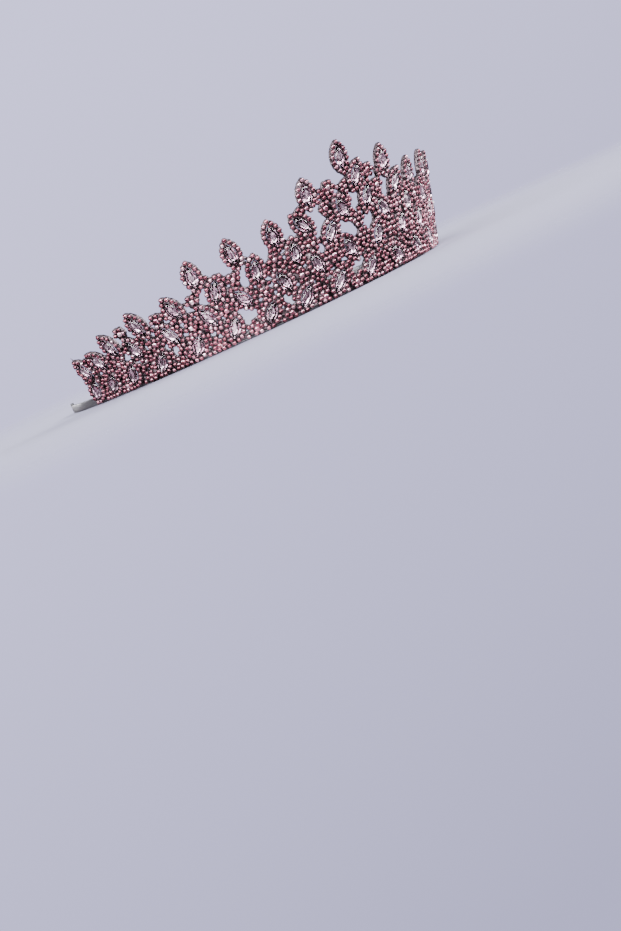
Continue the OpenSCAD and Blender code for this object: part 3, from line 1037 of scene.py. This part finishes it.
def holed_plate(outer, inner, thick):
    """A plate between an outer and an inner ring of points, with rounded edges: a closed
    profile of eight points that is carried round the hole."""
    half = thick / 2
    flat = half - ROUNDING
    levels = [
        (outer, -ROUNDING, -half), (outer, 0, -flat), (outer, 0, flat), (outer, -ROUNDING, half),
        (inner, ROUNDING, half), (inner, 0, flat), (inner, 0, -flat), (inner, ROUNDING, -half),
    ]
    return hoop([at_height(ring * (1 + grow / lengths(ring)[:, None]), z) for ring, grow, z in levels])


rays = round_ring(1, HOLE_POINTS)
ray_across, ray_up = np.abs(rays[:, 0]), rays[:, 1]
tab_round, tab_middle = TAB_WIDE / 2, TAB_HIGH - TAB_WIDE / 2
to_tab_side = tab_round / np.maximum(ray_across, TINY)
to_tab_foot = (tab_middle - TAB_LOW) / np.maximum(-ray_up, TINY)
tab_reach = np.where(ray_up > 0, tab_round, np.minimum(to_tab_side, to_tab_foot))
slot_half, slot_round = (SLOT_LONG - SLOT_WIDE) / 2, SLOT_WIDE / 2
to_slot_side = slot_round / np.maximum(ray_across, TINY)
half_chord = np.sqrt(np.maximum(0, slot_round ** 2 - (slot_half * ray_across) ** 2))
to_slot_end = slot_half * np.abs(ray_up) + half_chord
slot_reach = np.where(to_slot_side * np.abs(ray_up) < slot_half, to_slot_side, to_slot_end)
tip = holed_plate(TIP_RADIUS * rays, EYELET_RADIUS * rays, TIP_THICK)
tab = holed_plate(tab_reach[:, None] * rays, slot_reach[:, None] * rays, TAB_THICK)


def upright_places(s, on, up, inward):
    """Places beside the strip, and their arrows: along, up and outward."""
    strip_face, along, outward = level_axes(s)
    upright = np.broadcast_to(UPRIGHT, along.shape)
    place = strip_face + on[:, None] * along + up * upright - inward * outward
    return place, np.stack([along, upright, outward], axis=1)


sides = np.array([-1, 1])
tips = stamp(tip, *upright_places(sides * STRIP_END, sides * TIP_REACH, TIP_RADIUS, STRIP_THICK / 2))
tabs = stamp(tab, *upright_places(sides * TAB_S, 0 * sides, tab_middle, (STRIP_THICK + TAB_THICK) / 2))
plain_maps = [np.tile(shape[0][:, :2], (2, 1)) for shape in (tip, tab)]
band_shape = merged(strip, tips, tabs)
band = put_piece("springy_strip", band_shape, [band_metal])
corner_map = (np.vstack([strip_map] + plain_maps) * MM)[band_shape[1]]
band_map = band.data.uv_layers.new(name="own_map")
band_map.data.foreach_set("uv", corner_map.astype(np.float32).ravel())
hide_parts("headband")
print("strip with tips and tabs:", len(band.data.polygons), "faces")

# %% [markdown]
# ## Floor, air and lamps
# The picture has a plain pale lavender backdrop without an edge. The floor is a wide disc
# that fades out at its rim, so that it melts into the air behind it. Bright stones need
# something to mirror: the floor and the air seen in reflections have bright and dark
# patches, like a studio.

# %% Floor
FLOOR_RADII = [0.02, 0.3, 0.6, 0.9]
FLOOR_SPOKES = 96
FLOOR_UP = -0.05
FADE_FROM, FADE_TO = 0.09, 0.32
FLOOR_CELLS = 34
COLOUR_A, COLOUR_B, COLOUR_OUT = 6, 7, 2        # sockets of the Mix node for colours
FLOOR_SEEN = (0.27, 0.27, 0.38, 1)
FLOOR_MIRRORED = [
    (0.0, (0.04, 0.034, 0.042)), (0.35, (0.11, 0.095, 0.115)),
    (0.62, (0.26, 0.225, 0.265)), (0.87, (0.75, 0.72, 0.77)),
]
bands = [straight_band(k, FLOOR_SPOKES)[:, ::-1] for k in range(len(FLOOR_RADII) - 1)]
disc = template(
    [at_height(round_ring(radius / MM, FLOOR_SPOKES), FLOOR_UP) for radius in FLOOR_RADII],
    [cap(0, FLOOR_SPOKES)] + bands,
)
pale_floor, tree, shader = new_material("pale_floor", Roughness=0.9)
own_place = add_node(tree, "ShaderNodeTexCoord", "Object")
cells = random_cells(tree, own_place, FLOOR_CELLS)
cell_tint = colour_steps(tree, cells, FLOOR_MIRRORED, smooth=False)
tint_sources = [("Factor", camera_ray(tree)), (COLOUR_A, cell_tint)]
tint = add_node(tree, "ShaderNodeMix", COLOUR_OUT, tint_sources, data_type="RGBA")
tint.node.inputs[COLOUR_B].default_value = FLOOR_SEEN
tree.links.new(tint, shader.inputs["Base Color"])
from_middle = add_node(tree, "ShaderNodeVectorMath", "Value", [(0, own_place)], operation="LENGTH")
fade = fit_range(tree, from_middle, From_Min=FADE_FROM, From_Max=FADE_TO, interpolation_type="SMOOTHSTEP")
clear = add_node(tree, "ShaderNodeBsdfTransparent", "BSDF")
mixed_surface(tree, "Material Output", fade, shader.outputs["BSDF"], clear)
floor = new_object("floor", disc, [pale_floor])
print("floor", 2 * FLOOR_RADII[-1], "m across")

# %% Air
AIR_UP_LEFT, AIR_DOWN_RIGHT = (1.05, 1.01, 1.55), (0.60, 0.585, 0.92)
AIR_SPAN = 0.22
PATCH_SCALE = 2.8
PATCH_SHARE = 0.55
BRIGHT_BAND = [(0.49, 0), (0.53, 0.45), (0.78, 0.45), (0.86, 0.18)]        # height, share
STUDIO_PATCHES = [
    (0.0, (0.035, 0.032, 0.04)), (0.30, (0.12, 0.11, 0.13)),
    (0.52, (0.42, 0.40, 0.44)), (0.82, (18.0, 17.8, 18.5)),
]
air = bpy.data.worlds.new("air")
bpy.context.scene.world = air
air.use_nodes = True
tree = air.node_tree
seen = tree.nodes["Background"]
way_out = add_node(tree, "ShaderNodeTexCoord", "Generated")
towards = add_node(tree, "ShaderNodeVectorMath", "Value", [(0, way_out)], operation="DOT_PRODUCT")
towards.node.inputs[1].default_value = (picture_right - picture_up).normalized()
down_right = fit_range(tree, towards, From_Min=-AIR_SPAN, From_Max=AIR_SPAN)
shade = colour_steps(tree, down_right, [(0, AIR_UP_LEFT), (1, AIR_DOWN_RIGHT)])
tree.links.new(shade, seen.inputs["Color"])
height = add_node(tree, "ShaderNodeSeparateXYZ", "Z", [("Vector", way_out)])
upward = fit_range(tree, height, From_Min=-1)
band_share = colour_steps(tree, upward, [(at, (share,) * 3) for at, share in BRIGHT_BAND])
patch_sources = [(0, random_cells(tree, way_out, PATCH_SCALE)), (2, band_share)]
brightest = add_node(tree, "ShaderNodeMath", "Value", patch_sources, operation="MULTIPLY_ADD")
brightest.node.inputs[1].default_value = PATCH_SHARE
studio = colour_steps(tree, brightest, STUDIO_PATCHES, smooth=False)
mirrored = add_node(tree, "ShaderNodeBackground", "Background", [("Color", studio)])
mixed_surface(tree, "World Output", camera_ray(tree), mirrored, seen.outputs["Background"])
print("air ready")

# %% Lamps
LAMPS = {                 # place, size, power
    "key": ((-0.5, -0.9, 1.0), 0.5, 12), "fill": ((0.9, -0.5, 0.6), 0.6, 4.5),
    "front": ((-0.9, -0.35, 0.25), 0.25, 3), "top": ((0.1, 0.5, 1.2), 0.6, 6),
}
LAMP_AIM = Vector((0, -0.02, 0.02))
for name, (place, size, power) in LAMPS.items():
    lamp_data = bpy.data.lights.new(name, "AREA")
    lamp_data.size = size
    lamp_data.energy = power
    lamp = put_in_scene(name, lamp_data)
    lamp.location = place
    lamp.rotation_euler = (LAMP_AIM - Vector(place)).to_track_quat("-Z", "Y").to_euler()
print(len(LAMPS), "lamps")
